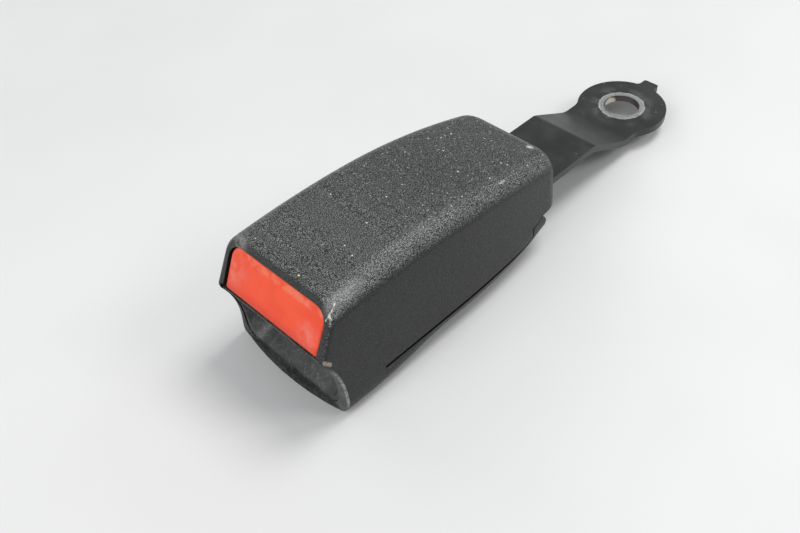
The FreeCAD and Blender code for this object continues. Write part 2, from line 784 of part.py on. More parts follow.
def latch_pin():
    pin = rod_y(latch_pivot_place, latch_pivot_height, latch_pin_radius, -frame_half_width, frame_half_width)
    for y, turn in ((frame_half_width, 1), (-frame_half_width, -1)):
        head = Part.makeCylinder(latch_pin_head_radius, latch_pin_head_thickness,
                                 vec(latch_pivot_place, y, latch_pivot_height), vec(0, turn, 0))
        pin = pin.fuse(head)
    return pin.removeSplitter()


def ejector():
    body = plate_xz([(ejector_front, ejector_floor), (ejector_front, ejector_top - ejector_chamfer),
                     (ejector_front + ejector_chamfer, ejector_top), (ejector_end, ejector_top),
                     (ejector_end, ejector_floor)], -ejector_half_width, ejector_half_width)
    body = body.cut(rod_x(0, ejector_bore_height, ejector_bore_radius, ejector_front + ejector_bore_floor, FAR * 2))
    foot_top = frame_under - lift_gap
    neck_end = ejector_neck_place + ejector_foot_length
    neck = block(ejector_neck_place, neck_end, -ejector_neck_half_width, ejector_neck_half_width, foot_top,
                 ejector_floor)
    foot = block(ejector_neck_place, neck_end, -ejector_foot_half_width, ejector_foot_half_width,
                 foot_top - ejector_foot_thickness, foot_top)
    return body.fuse(neck).fuse(foot).removeSplitter()


def coil(length, radius, wire, turns):
    # a compression spring along z; its wire has flats so that its mesh stays light
    pitch = (length - 2 * wire) / turns
    helix = Part.makeHelix(pitch, pitch * turns, radius)
    corners = []
    for i in range(wire_sides + 1):
        turn = 2 * math.pi * i / wire_sides
        corners.append(vec(radius + wire * math.cos(turn), 0, wire * math.sin(turn)))
    spring = Part.Wire(helix).makePipeShell([Part.makePolygon(corners)], True, True)
    spring.translate(vec(0, 0, wire))
    return spring


def coil_along_x(x0, x1, y, z, radius, wire, turns):
    spring = coil(x1 - x0, radius, wire / 2, turns)
    spring.rotate(vec(0, 0, 0), vec(0, 1, 0), 90)
    spring.translate(vec(x0, y, z))
    return spring


def button_spring(side):
    return coil_along_x(leg_end + pad_gap, retainer_front - pad_gap, side * spring_y, spring_z,
                        button_spring_radius - button_spring_wire / 2, button_spring_wire, button_spring_turns)


def ejector_spring():
    start = ejector_front + ejector_bore_floor + pad_gap
    return coil_along_x(start, spring_tab_place - pad_gap, 0, ejector_bore_height,
                        ejector_spring_radius - ejector_spring_wire / 2, ejector_spring_wire, ejector_spring_turns)


def latch_spring():
    spring = coil(frame_wall_top - latch_top - 2 * pad_gap, latch_spring_radius - latch_spring_wire / 2,
                  latch_spring_wire / 2, latch_spring_turns)
    spring.translate(vec(latch_spring_place, 0, latch_top + pad_gap))
    return spring


def stop_pad():
    side = spring_tab_half_width + stop_pad_overhang
    pad = block(stop_pad_front, stop_pad_front + stop_pad_thickness, -side, side, ejector_floor, ejector_top)
    return pad.cut(rod_x(0, ejector_bore_height, ejector_bore_radius + bore_margin, 0, FAR * 2))


def mechanism_cover():
    side = frame_half_width
    high = cover_low + cover_thickness
    cover = plate_yz([(side, cover_low), (side, high, cover_edge_radius), (-side, high, cover_edge_radius),
                      (-side, cover_low)], cover_front, cover_end)
    skirt_y = frame_inner_half_width - guide_clearance
    spans = ((ear_place + ear_length + cover_skirt_gap, latch_pivot_place - pivot_gap_front),
             (latch_pivot_place - pivot_gap_rear, cover_end))
    for x0, x1 in spans:
        skirt = block(x0, x1, skirt_y - cover_skirt_thickness, skirt_y, cover_low - cover_skirt_depth, cover_low)
        for one in both_sides(skirt):
            cover = cover.fuse(one)
    return cover.removeSplitter()


def spring_retainer():
    low = strap_top + pad_gap
    x0 = retainer_front
    x1 = x0 + retainer_length
    bridge = block(x0, x1, -retainer_half_width, retainer_half_width, spring_z - retainer_arm_height / 2,
                   spring_z + retainer_arm_height / 2)
    bridge = bridge.fuse(block(x0, x1, -frame_half_width, frame_half_width, low, frame_wall_top - retainer_top_gap))
    gap = strap_half_width + retainer_bridge_clearance
    bridge = bridge.cut(block(x0 - 1, x1 + 1, -gap, gap, 0, low))
    groove = block(x0 - 1, frame_wall_end + seat_clearance, frame_inner_half_width - seat_clearance,
                   frame_half_width + seat_clearance, 0, FAR)
    for one in both_sides(groove):
        bridge = bridge.cut(one)
    for y in (-rivet_y, rivet_y):
        bridge = bridge.cut(rod_z(rivet_place, y, rivet_head_radius + rivet_clearance, 0, low + rivet_head_height))
    cheek = frame_inner_half_width - retainer_cheek
    bridge = bridge.cut(block(x0 + retainer_wall, x1 - retainer_back, -cheek, cheek, low + retainer_wall, FAR))
    return bridge.removeSplitter()


def strap_pad(z):
    return block(pad_place, pad_end, -pad_half_width, pad_half_width, z, z + pad_height)


PIECES = {
    "upper_housing": upper_housing,
    "lower_cover": lower_cover,
    "tongue_guide": tongue_guide,
    "release_button": release_button,
    "buckle_frame": buckle_frame,
    "anchor_strap": anchor_strap,
    "frame_rivets": frame_rivets,
    "latch": latch,
    "latch_pin": latch_pin,
    "latch_spring": latch_spring,
    "ejector": ejector,
    "ejector_spring": ejector_spring,
    "button_spring_left": lambda: button_spring(1),
    "button_spring_right": lambda: button_spring(-1),
    "spring_retainer": spring_retainer,
    "mechanism_cover": mechanism_cover,
    "stop_pad": stop_pad,
    "upper_strap_pad": lambda: strap_pad(strap_top + pad_gap),
    "lower_strap_pad": lambda: strap_pad(tongue_plane - pad_gap - pad_height),
}


def main():
    os.makedirs("parts", exist_ok=True)
    middle = anchor_top - strap_thickness / 2
    print("anchor at", round(anchor_place, 3), round(middle, 3), "body", body_length, body_half_width)
    origin = vec(-anchor_place, 0, -middle)
    for name, make in PIECES.items():
        shape = make()
        shape.translate(origin)
        solids = shape.Solids
        if len(solids) == 1:
            shape = solids[0]
        shape.exportStep("parts/" + name + ".step")
        print(name, "solids", len(solids), "valid", shape.isValid(), "volume", round(shape.Volume, 1))


main()
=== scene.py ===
import math

import bpy
from mathutils import Matrix, Vector


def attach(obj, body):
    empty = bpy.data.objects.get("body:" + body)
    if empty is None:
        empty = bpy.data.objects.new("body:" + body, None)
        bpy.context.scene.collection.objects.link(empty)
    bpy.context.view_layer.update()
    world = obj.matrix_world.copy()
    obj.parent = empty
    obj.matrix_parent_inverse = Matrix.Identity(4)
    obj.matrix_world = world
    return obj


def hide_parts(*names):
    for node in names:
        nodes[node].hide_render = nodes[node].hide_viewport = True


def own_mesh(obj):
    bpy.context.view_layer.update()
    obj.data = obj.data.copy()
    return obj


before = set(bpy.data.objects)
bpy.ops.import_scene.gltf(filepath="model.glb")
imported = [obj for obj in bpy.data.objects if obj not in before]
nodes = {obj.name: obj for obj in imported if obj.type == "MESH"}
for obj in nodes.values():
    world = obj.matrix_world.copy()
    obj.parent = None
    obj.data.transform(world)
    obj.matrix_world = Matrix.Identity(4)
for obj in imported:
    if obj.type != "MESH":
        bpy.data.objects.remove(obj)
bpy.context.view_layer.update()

# Seat belt buckle: the looks. Lengths are in metres, in the frame of the CAD model: the origin is the
# centre of the anchor hole, x runs from the mouth to the anchor, z is up.

MM = 0.001

# The front of the housing at table height, in the middle of its width
NOSE = Vector((-164.35, 0.0, -6.05)) * MM
TABLE = NOSE.z


def at(x, y, z):
    # a place given in millimetres from the nose of the housing
    return NOSE + Vector((x, y, z)) * MM


# Camera: where it looks, how far away it is, its angles in radians, its lens and sensor in millimetres
AIM = at(45.79, -3.61, 15.0)
DISTANCE = 264.42 * MM
PITCH = 0.785
TURN = 0.746
ROLL = -0.066
LENS = 40.5
SENSOR = 36.0
CLIP_START = 10 * MM

# Lamps: their place as seen from AIM, their diameter and their power in watts
LAMPS = {
    "key": (Vector((0.50, -0.06, 0.90)), 0.45, 5.0),
    "sheen": (Vector((0.48, -0.62, 0.66)), 0.35, 2.0),
    "side": (Vector((-0.10, 0.85, 0.65)), 0.6, 1.2),
    "fill": (Vector((-0.85, 0.0, 0.50)), 0.7, 3.9),
}
SKY_COLOUR = (0.95, 0.97, 1.0, 1)
SKY_STRENGTH = 0.40

# Half the width of the floor
FLOOR_REACH = 2.0

# Faces that meet at less than this many degrees are shaded as one
SMOOTH_ANGLE = 32.0
WELD_DISTANCE = 0.002 * MM

# The leaning front face of the housing: its angle in degrees, and the height it starts at in millimetres
FRONT_LEAN = 24.4
NOSE_HEIGHT = 25.3

# The groove between the housing and the lower cover, where shade is painted, in millimetres from the nose
GROOVE_LOW = 7.6
GROOVE_HIGH = 8.4
GROOVE_FRONT = 20.3
GROOVE_FADE = 0.15

# Where wear shows, and where highlights are painted: at the far front corner, the corner sheen, the rear
# glint, the cheek's edge and in the bore spot
CHEEK = at(5.0, -21.6, 11.0)
SCUFF = (at(1.2, -21.7, 25.9), at(2.6, -22.2, 24.3))
STREAK = (at(8.9, -19.1, 40.0), at(6.2, -19.7, 38.3))
STREAK_FORK = at(6.2, -19.8, 38.3)
STREAK_ENDS = (at(5.5, -20.7, 36.4), at(5.3, -19.3, 36.8), at(5.9, -20.9, 37.4))
STREAK_RUB = at(8.2, -19.4, 38.7)
FAR_CORNER_HIGHLIGHT = at(6.4, 15.5, 40.4)
CORNER_SHEEN = at(11.5, -18.8, 40.0)
REAR_CHIP = at(74.2, -17.7, 37.2)
REAR_GLINT = at(95.5, -10.9, 33.8)
BUTTON_ENDS = (at(3.0, 16.5, 32.5), at(2.2, -14.0, 29.5))
BORE_SPOT = at(165.8, 6.2, 5.3)

# Where the top's painted grain glints and its dust change towards the rear, in millimetres from the nose
REAR_START = 25
REAR_END = 60

# Heights above the table, where the painted shade at the button's foot fades out and its paler band, a
# painted highlight with some wear, starts and ends
BUTTON_FOOT = (25.6 * MM, 29.5 * MM)
BAND_START = (35.6 * MM, 36.9 * MM)
BAND_END = (37.9 * MM, 38.5 * MM)

# Radii round the anchor hole, where the bright rim starts, the bare ring ends and scratches fade out
RIM_START = (7.7 * MM, 8.1 * MM)
BARE_END = (8.15 * MM, 8.45 * MM)
SCRATCH_FADE = (9.0 * MM, 14.0 * MM)

# This scale of the wave texture puts the turning marks about 0.6 mm apart
TURNING_SCALE = 520

# Tones of the housing
GRAIN_HOLLOW = (0.0060, 0.0066, 0.0063, 1)
# the raised grain's tip, mostly a painted glint
GRAIN_TIP_AND_GLINT = (0.285, 0.300, 0.285, 1)
DUST_FILM = (0.13, 0.13, 0.125, 1)
FINE_DUST = (0.62, 0.60, 0.53, 1)
COARSE_DUST = (0.74, 0.73, 0.66, 1)
SAND = (0.78, 0.62, 0.38, 1)
# the worn corner's tone, also used for painted highlights
WORN_WHITE_AND_HIGHLIGHT = (0.78, 0.78, 0.76, 1)
BROWN_SCUFF = (0.40, 0.33, 0.25, 1)
RUBBED_CHEEK = (0.105, 0.110, 0.104, 1)
PAINTED_EDGE_HIGHLIGHT = (0.36, 0.37, 0.34, 1)
GROOVE_PAINTED_SHADE = (0.0008, 0.0008, 0.0008, 1)

# Tones of the smooth black plastic
SMOOTH_BLACK = (0.036, 0.038, 0.037, 1)
SMOOTH_GREY = (0.100, 0.105, 0.101, 1)
RUBBED_GREY = (0.24, 0.25, 0.24, 1)
SCRATCH_GREY = (0.32, 0.33, 0.32, 1)

# Tones of the button
BUTTON_RED = (0.92, 0.070, 0.020, 1)
BUTTON_ORANGE = (0.98, 0.098, 0.034, 1)
BUTTON_PAINTED_SHADE = (0.52, 0.018, 0.010, 1)
BUTTON_EDGE_HIGHLIGHT_AND_WEAR = (0.95, 0.22, 0.12, 1)
BUTTON_FADED = (0.84, 0.30, 0.24, 1)
BUTTON_DIRT = (0.33, 0.02, 0.012, 1)

# Tones of the strap
PAINT_DARK = (0.0150, 0.0160, 0.0155, 1)
PAINT_PALE = (0.027, 0.029, 0.028, 1)
PAINT_SCRATCH = (0.34, 0.34, 0.33, 1)
STRAP_DUST = (0.45, 0.44, 0.40, 1)
STEEL_DARK = (0.26, 0.27, 0.275, 1)
STEEL_PALE = (0.43, 0.45, 0.45, 1)
STEEL_RIM = (0.62, 0.64, 0.64, 1)
STEEL_STAIN = (0.15, 0.12, 0.10, 1)
BORE_WALL_SHADE = (0.13, 0.12, 0.11, 1)
BORE_CRUST_AND_GLINT = (0.86, 0.78, 0.62, 1)

# Tones of the pieces inside and of the floor
PLATING_DARK = (0.44, 0.43, 0.39, 1)
PLATING_PALE = (0.58, 0.57, 0.53, 1)
WIRE_DARK = (0.30, 0.30, 0.31, 1)
WIRE_PALE = (0.48, 0.48, 0.49, 1)
RUBBER_DARK = (0.018, 0.018, 0.018, 1)
RUBBER_PALE = (0.036, 0.036, 0.035, 1)
FLOOR_DARK = (0.74, 0.74, 0.735, 1)
FLOOR_PALE = (0.78, 0.78, 0.775, 1)


class Painter:
    # makes one node material, with the few kinds of node that these materials need
    def __init__(self, name):
        self.material = bpy.data.materials.new(name)
        self.material.use_nodes = True
        self.tree = self.material.node_tree
        self.shader = self.tree.nodes["Principled BSDF"]
        self.place = self.add("ShaderNodeTexCoord").outputs["Object"]

    def add(self, kind, **settings):
        made = self.tree.nodes.new(kind)
        for key, value in settings.items():
            setattr(made, key, value)
        return made

    def feed(self, socket, value):
        # an output is linked to the socket, and anything else becomes its constant
        if isinstance(value, bpy.types.NodeSocket):
            self.tree.links.new(value, socket)
        else:
            socket.default_value = value

    def noise(self, size, detail=2.0, roughness=0.5, place=None):
        # soft noise whose lumps are about size metres wide
        made = self.add("ShaderNodeTexNoise")
        self.feed(made.inputs["Vector"], place or self.place)
        made.inputs["Scale"].default_value = 1 / size
        made.inputs["Detail"].default_value = detail
        made.inputs["Roughness"].default_value = roughness
        return made.outputs["Fac"]

    def cells(self, size):
        # how far the nearest of many scattered points is, as a share of their spacing size
        made = self.add("ShaderNodeTexVoronoi")
        self.feed(made.inputs["Vector"], self.place)
        made.inputs["Scale"].default_value = 1 / size
        return made.outputs["Distance"]

    def rings(self, scale, distortion, detail):
        # wavering rings round the z axis
        made = self.add("ShaderNodeTexWave", wave_type="RINGS", rings_direction="Z")
        self.feed(made.inputs["Vector"], self.place)
        made.inputs["Scale"].default_value = scale
        made.inputs["Distortion"].default_value = distortion
        made.inputs["Detail"].default_value = detail
        return made.outputs["Fac"]

    def ramp(self, value, low, high, start=0.0, end=1.0):
        # start at low, end at high, and smooth between
        made = self.add("ShaderNodeMapRange", interpolation_type="SMOOTHSTEP")
        self.feed(made.inputs["Value"], value)
        made.inputs["From Min"].default_value = low
        made.inputs["From Max"].default_value = high
        made.inputs["To Min"].default_value = start
        made.inputs["To Max"].default_value = end
        return made.outputs["Result"]

    def absolute(self, value):
        made = self.add("ShaderNodeMath", operation="ABSOLUTE")
        self.feed(made.inputs[0], value)
        return made.outputs[0]

    def maths(self, operation, first, *others):
        # the first value with the second, their result with the third, and so on
        result = first
        for value in others:
            made = self.add("ShaderNodeMath", operation=operation)
            self.feed(made.inputs[0], result)
            self.feed(made.inputs[1], value)
            result = made.outputs[0]
        return result

    def plus(self, *values):
        return self.maths("ADD", *values)

    def minus(self, a, b):
        return self.maths("SUBTRACT", a, b)

    def times(self, *values):
        return self.maths("MULTIPLY", *values)

    def most(self, *values):
        return self.maths("MAXIMUM", *values)

    def vector(self, operation, a, b):
        made = self.add("ShaderNodeVectorMath", operation=operation)
        self.feed(made.inputs[0], a)
        self.feed(made.inputs[1], b)
        return made.outputs["Value" if operation in ("DOT_PRODUCT", "DISTANCE") else "Vector"]

    def length(self, vector):
        made = self.add("ShaderNodeVectorMath", operation="LENGTH")
        self.feed(made.inputs[0], vector)
        return made.outputs["Value"]

    def axis(self, vector, name):
        split = self.add("ShaderNodeSeparateXYZ")
        self.feed(split.inputs[0], vector)
        return split.outputs[name]

    def direction(self, name):
        # how much a face looks along an axis
        return self.axis(self.add("ShaderNodeNewGeometry").outputs["Normal"], name)

    def facing(self, name, low, high):
        return self.ramp(self.direction(name), low, high)

    def stretched(self, x, y, z):
        # the place with each of its axes scaled
        made = self.add("ShaderNodeMapping")
        self.feed(made.inputs["Vector"], self.place)
        made.inputs["Scale"].default_value = (x, y, z)
        return made.outputs[0]

    def near(self, centre, reach, soft, squeeze=(1, 1, 1)):
        # 1 close to a place and 0 further off than reach
        off = self.vector("MULTIPLY", self.vector("SUBTRACT", self.place, centre), squeeze)
        return self.ramp(self.length(off), reach * (1 - soft), reach, 1.0, 0.0)

    def stroke(self, start, end, width, soft, waver):
        # 1 close to the line from start to end; waver is noise that makes its sides uneven
        line = end - start
        from_start = self.vector("SUBTRACT", self.place, start)
        share = self.maths("DIVIDE", self.vector("DOT_PRODUCT", from_start, line), line.length_squared)
        share = self.most(self.maths("MINIMUM", share, 1.0), 0.0)
        along = self.add("ShaderNodeCombineXYZ")
        for socket in along.inputs:
            self.feed(socket, share)
        nearest = self.vector("MULTIPLY", along.outputs[0], line)
        uneven = self.times(self.minus(waver, 0.5), width * 3.0)
        off = self.plus(self.vector("DISTANCE", from_start, nearest), uneven)
        return self.ramp(off, width * (1 - soft), width, 1.0, 0.0)

    def arcs(self, size, radius, width):
        # thin round scratches, radius and width as shares of their spacing size
        off = self.absolute(self.minus(self.cells(size), radius))
        broken = self.ramp(self.noise(size * 0.45), 0.48, 0.58)
        return self.times(self.ramp(off, width * 0.4, width, 1.0, 0.0), broken)

    def dust(self, spacing, radius, choice):
        # scattered dots: one in each chosen cell, radius given as a share of the spacing
        dots = self.ramp(self.cells(spacing), radius * 0.6, radius, 1.0, 0.0)
        return self.times(dots, self.ramp(self.noise(spacing * 1.7, 1.0), choice, choice + 0.05))

    def mix(self, share, a, b):
        # inputs 6 and 7 and output 2 are the mix node's sockets for colours
        made = self.add("ShaderNodeMix", data_type="RGBA")
        self.feed(made.inputs["Factor"], share)
        self.feed(made.inputs[6], a)
        self.feed(made.inputs[7], b)
        return made.outputs[2]

    def coats(self, colour, *layers):
        # lays each layer, a share and a tone, over the colour
        for share, tone in layers:
            colour = self.mix(share, colour, tone)
        return colour

    def bump(self, height, depth, strength):
        made = self.add("ShaderNodeBump")
        made.inputs["Strength"].default_value = strength
        made.inputs["Distance"].default_value = depth
        self.feed(made.inputs["Height"], height)
        return made.outputs["Normal"]

    def finish(self, colour, roughness, normal, metal=0.0, specular=0.5):
        values = {
            "Base Color": colour,
            "Roughness": roughness,
            "Normal": normal,
            "Metallic": metal,
            "Specular IOR Level": specular,
        }
        for name, value in values.items():
            self.feed(self.shader.inputs[name], value)
        return self.material


def grained_plastic():
    p = Painter("grained_black_plastic")
    grain = p.noise(0.25 * MM, 1.5)
    top = p.facing("Z", 0.25, 0.8)
    rear = p.ramp(p.axis(p.place, "X"), at(REAR_START, 0, 0).x, at(REAR_END, 0, 0).x)
    white_wear_and_highlights = worn_white_and_highlights(p, grain)
    scuff = p.stroke(*SCUFF, 0.75 * MM, 0.6, p.noise(0.9 * MM, 4.0, 0.75))
    cheek = worn_cheek(p)
    groove = groove_shade(p)
    # the pale grain tips: a little of the grain's own tone, mostly painted glints on what faces up and a
    # painted sheen on the shoulders
    pale = p.times(p.ramp(grain, 0.46, 0.66), grain_glint_share(p, top, rear))
    colour = p.coats(
        p.mix(pale, GRAIN_HOLLOW, GRAIN_TIP_AND_GLINT),
        *dust_layers(p, top, rear),
        # wear, and painted highlights in the same pale tone
        (p.times(white_wear_and_highlights, 0.95), WORN_WHITE_AND_HIGHLIGHT),
        (p.times(scuff, 0.8), BROWN_SCUFF),
        (cheek, RUBBED_CHEEK),
        # a painted highlight along the cheek's rounded edge
        (cheek_edge_highlight(p), PAINTED_EDGE_HIGHLIGHT),
        # painted shade in the groove of the split line
        (groove, GROOVE_PAINTED_SHADE),
    )
    rim = p.ramp(lean_distance(p), 0.2 * MM, 1.6 * MM, 1.0, 0.0)
    smooth = p.most(rim, white_wear_and_highlights, cheek)
    roughness = p.minus(p.ramp(grain, 0.35, 0.7, 0.47, 0.33), p.times(smooth, 0.14))
    roughness = p.plus(roughness, p.times(groove, 0.5))
    return p.finish(colour, roughness, p.bump(grain, 0.11 * MM, 0.85), specular=0.34)


def grain_glint_share(p, top, rear):
    # how pale the raised grain is, mostly painted glints: most on the top, less at its rear, and a painted
    # sheen on the shoulders
    strength = p.minus(0.80, p.times(rear, 0.22))
    sideways = p.absolute(p.direction("Y"))
    shoulder_sheen = p.times(p.ramp(sideways, 0.22, 0.60), p.facing("Z", 0.20, 0.55), 0.60)
    return p.plus(p.times(top, strength), 0.11, shoulder_sheen)


def dust_layers(p, top, rear):
    # a thin film and dust of several sizes, all on what faces up
    film = p.times(p.ramp(p.noise(16 * MM, 4.0, 0.6), 0.42, 0.78), top, 0.10)
    fine = p.most(p.dust(1.1 * MM, 0.18, 0.50), p.dust(2.1 * MM, 0.12, 0.47))
    fine = p.times(fine, top, p.ramp(rear, 0.0, 1.0, 0.3, 0.9))
    coarse = p.times(p.dust(3.3 * MM, 0.095, 0.50), top)
    sandy = p.times(p.dust(7.5 * MM, 0.05, 0.52), top)
    return (film, DUST_FILM), (fine, FINE_DUST), (coarse, COARSE_DUST), (sandy, SAND)


def worn_white_and_highlights(p, grain):
    # rubbed streaks at the near front corner and a chip at the rear, and painted highlights: a glint at
    # the far front corner, a sheen at the near one and a glint at the rear
    waver = p.noise(1.3 * MM, 4.0, 0.7)
    main = p.stroke(*STREAK, 0.42 * MM, 0.9, waver)
    branches = [p.times(p.stroke(STREAK_FORK, end, 0.30 * MM, 0.9, waver), 0.9) for end in STREAK_ENDS]
    rubbed = p.times(p.near(STREAK_RUB, 3.4 * MM, 0.8, (1, 1.3, 0.9)), p.ramp(waver, 0.40, 0.62), 0.20)
    # a painted highlight at the far front corner
    far = p.times(p.near(FAR_CORNER_HIGHLIGHT, 3.0 * MM, 0.9, (1, 0.8, 1)), p.ramp(waver, 0.3, 0.6), 0.32)
    # a painted sheen along the near front corner
    sheen = p.times(p.near(CORNER_SHEEN, 6.0 * MM, 0.8, (0.6, 2.4, 1)), 0.15)
    chip = p.times(p.near(REAR_CHIP, 1.0 * MM, 0.5, (0.5, 2.4, 1)), p.ramp(grain, 0.38, 0.52), 0.55)
    # a painted glint at the rear, where the strap leaves
    glint = p.times(p.near(REAR_GLINT, 1.6 * MM, 0.8), 0.7)
    return p.most(main, *branches, rubbed, far, sheen, chip, glint)


def worn_cheek(p):
    # the rubbed rounding beside the mouth
    wear = p.times(p.near(CHEEK, 12.0 * MM, 0.5, (1, 1, 0.8)), p.facing("X", -0.35, -0.75))
    return p.times(wear, p.ramp(p.noise(2.0 * MM, 3.0, 0.6), 0.34, 0.62, 0.35, 0.8))


def cheek_edge_highlight(p):
    # a painted highlight: the pale line where that rounding turns into the side
    band = p.times(p.facing("X", -0.18, -0.38), p.facing("X", -0.85, -0.60))
    broken = p.ramp(p.noise(1.4 * MM, 3.0, 0.6), 0.36, 0.60, 0.2, 0.8)
    return p.times(p.near(CHEEK, 13.0 * MM, 0.6), band, broken)


def groove_shade(p):
    # painted shade: 1 in the groove of the split line
    height = p.axis(p.place, "Z")
    above = p.ramp(height, at(0, 0, GROOVE_LOW - GROOVE_FADE).z, at(0, 0, GROOVE_LOW).z)
    below = p.ramp(height, at(0, 0, GROOVE_HIGH + GROOVE_FADE).z, at(0, 0, GROOVE_HIGH).z)
    start = GROOVE_FRONT - 2 * GROOVE_FADE
    behind = p.ramp(p.axis(p.place, "X"), at(start, 0, 0).x, at(GROOVE_FRONT, 0, 0).x)
    return p.times(above, below, behind)


def lean_distance(p):
    # how far a place lies behind the leaning front face
    angle = math.radians(FRONT_LEAN)
    face = p.times(p.minus(p.axis(p.place, "Z"), at(0, 0, NOSE_HEIGHT).z), math.tan(angle))
    behind = p.minus(p.minus(p.axis(p.place, "X"), NOSE.x), face)
    return p.times(behind, math.cos(angle))


def smooth_plastic():
    p = Painter("smooth_black_plastic")
    clouds = p.noise(7 * MM, 4.0, 0.6)
    fine = p.noise(0.5 * MM, 3.0, 0.6)
    scratches = p.most(
        p.arcs(4.3 * MM, 0.38, 0.018),
        p.arcs(7.0 * MM, 0.42, 0.012),
        p.arcs(2.9 * MM, 0.33, 0.022),
    )
    rubbed = p.times(p.ramp(p.noise(0.9 * MM, 5.0, 0.75), 0.50, 0.72), p.ramp(clouds, 0.40, 0.60))
    cloudy = p.times(p.ramp(clouds, 0.30, 0.70), 0.7)
    colour = p.coats(
        p.mix(cloudy, SMOOTH_BLACK, SMOOTH_GREY),
        (p.times(rubbed, 0.55), RUBBED_GREY),
        (p.times(scratches, 0.40), SCRATCH_GREY),
    )
    roughness = p.ramp(fine, 0.35, 0.7, 0.34, 0.48)
    return p.finish(colour, roughness, p.bump(p.plus(scratches, fine), 0.02 * MM, 0.35))


def button_plastic():
    p = Painter("red_button_plastic")
    clouds = p.noise(9 * MM, 4.0, 0.55)
    height = p.minus(p.axis(p.place, "Z"), TABLE)
    # painted shade, darker towards the button's foot
    painted_foot_shade = p.ramp(height, *BUTTON_FOOT, 0.55, 0.0)
    # a paler band near the button's top edge: a painted highlight with some wear
    band = p.times(p.ramp(height, *BAND_START), p.ramp(height, *BAND_END, 1.0, 0.0))
    band = p.times(band, p.ramp(p.noise(4.5 * MM, 3.0, 0.6), 0.36, 0.60), 0.77)
    far_end, near_end = BUTTON_ENDS
    ends = p.plus(p.near(far_end, 7.5 * MM, 0.9), p.near(near_end, 6 * MM, 0.9))
    faded = p.times(ends, p.ramp(p.noise(3.4 * MM, 5.0, 0.65), 0.36, 0.66), 0.50)
    dirt = p.times(p.ramp(p.noise(1.4 * MM, 5.0, 0.7), 0.60, 0.74), 0.22)
    colour = p.coats(
        p.mix(p.ramp(clouds, 0.35, 0.7), BUTTON_RED, BUTTON_ORANGE),
        (painted_foot_shade, BUTTON_PAINTED_SHADE),
        (band, BUTTON_EDGE_HIGHLIGHT_AND_WEAR),
        (faded, BUTTON_FADED),
        (dirt, BUTTON_DIRT),
    )
    roughness = p.ramp(clouds, 0.3, 0.7, 0.36, 0.46)
    normal = p.bump(p.noise(0.5 * MM, 3.0, 0.6), 0.02 * MM, 0.25)
    return p.finish(colour, roughness, normal, specular=0.40)


def painted_strap():
    p = Painter("satin_black_strap")
    clouds = p.noise(10 * MM, 4.0, 0.6)
    fine = p.noise(0.5 * MM, 3.0, 0.6)
    rings = p.rings(TURNING_SCALE, 2.0, 3.0)
    from_centre = p.length(p.stretched(1.0, 1.0, 0.0))
    ragged = p.plus(from_centre, p.times(p.minus(p.noise(2.0 * MM, 4.0, 0.7), 0.5), 1.5 * MM))
    spot = p.near(BORE_SPOT, 3.2 * MM, 0.4, (1, 1, 1.5))
    spot = p.times(spot, p.ramp(p.noise(0.5 * MM, 4.0, 0.7), 0.30, 0.42))
    bare = p.ramp(ragged, *BARE_END, 1.0, 0.0)
    chips = p.times(p.ramp(p.noise(0.8 * MM, 3.0, 0.7), 0.70, 0.74), p.ramp(clouds, 0.5, 0.6), 0.6)
    shown = p.most(bare, chips)
    colour = p.mix(shown, strap_paint(p, clouds, rings, from_centre), bare_steel(p, rings, ragged, spot))
    roughness = p.plus(p.ramp(clouds, 0.3, 0.7, 0.27, 0.38), p.times(fine, 0.06))
    normal = p.bump(p.minus(p.times(fine, 0.4), shown), 0.05 * MM, 0.5)
    dulled = p.minus(0.85, p.times(p.facing("Z", 0.40, 0.85), 0.30))
    metal = p.times(shown, p.minus(1.0, spot), dulled)
    return p.finish(colour, roughness, normal, metal)


def strap_paint(p, clouds, rings, from_centre):
    # satin black with round scratches beside the bare ring, and dust on what faces up
    beside_ring = p.ramp(from_centre, *SCRATCH_FADE, 1.0, 0.0)
    broken = p.ramp(p.noise(3.2 * MM, 3.0), 0.46, 0.62)
    scratches = p.times(p.ramp(rings, 0.80, 0.97), broken, beside_ring)
    dust = p.times(p.dust(2.8 * MM, 0.09, 0.52), p.facing("Z", 0.3, 0.8), 0.8)
    return p.coats(
        p.mix(p.ramp(clouds, 0.35, 0.7), PAINT_DARK, PAINT_PALE),
        (p.times(scratches, 0.6), PAINT_SCRATCH),
        (dust, STRAP_DUST),
    )


def bare_steel(p, rings, ragged, spot):
    # turned steel round the hole: a bright rim, some stains, painted shade on the wall of the hole, and a
    # pale spot on it, crust with a painted glint
    stains = p.ramp(p.noise(1.8 * MM, 4.0), 0.55, 0.66)
    return p.coats(
        p.mix(p.ramp(rings, 0.3, 0.8), STEEL_DARK, STEEL_PALE),
        (p.times(p.ramp(ragged, *RIM_START), 0.7), STEEL_RIM),
        (p.times(stains, 0.5), STEEL_STAIN),
        # painted shade on the wall of the hole, which faces sideways
        (p.facing("Z", 0.85, 0.40), BORE_WALL_SHADE),
        # a pale crust spot in the bore, with a painted glint
        (spot, BORE_CRUST_AND_GLINT),
    )


def plated_steel():
    p = Painter("plated_steel")
    grain = p.noise(0.7 * MM, 4.0, 0.6, p.stretched(0.15, 1.0, 1.0))
    clouds = p.noise(6 * MM, 4.0, 0.6)
    colour = p.mix(p.ramp(clouds, 0.35, 0.7), PLATING_DARK, PLATING_PALE)
    roughness = p.ramp(grain, 0.3, 0.7, 0.24, 0.42)
    return p.finish(colour, roughness, p.bump(grain, 0.02 * MM, 0.35), 1.0)


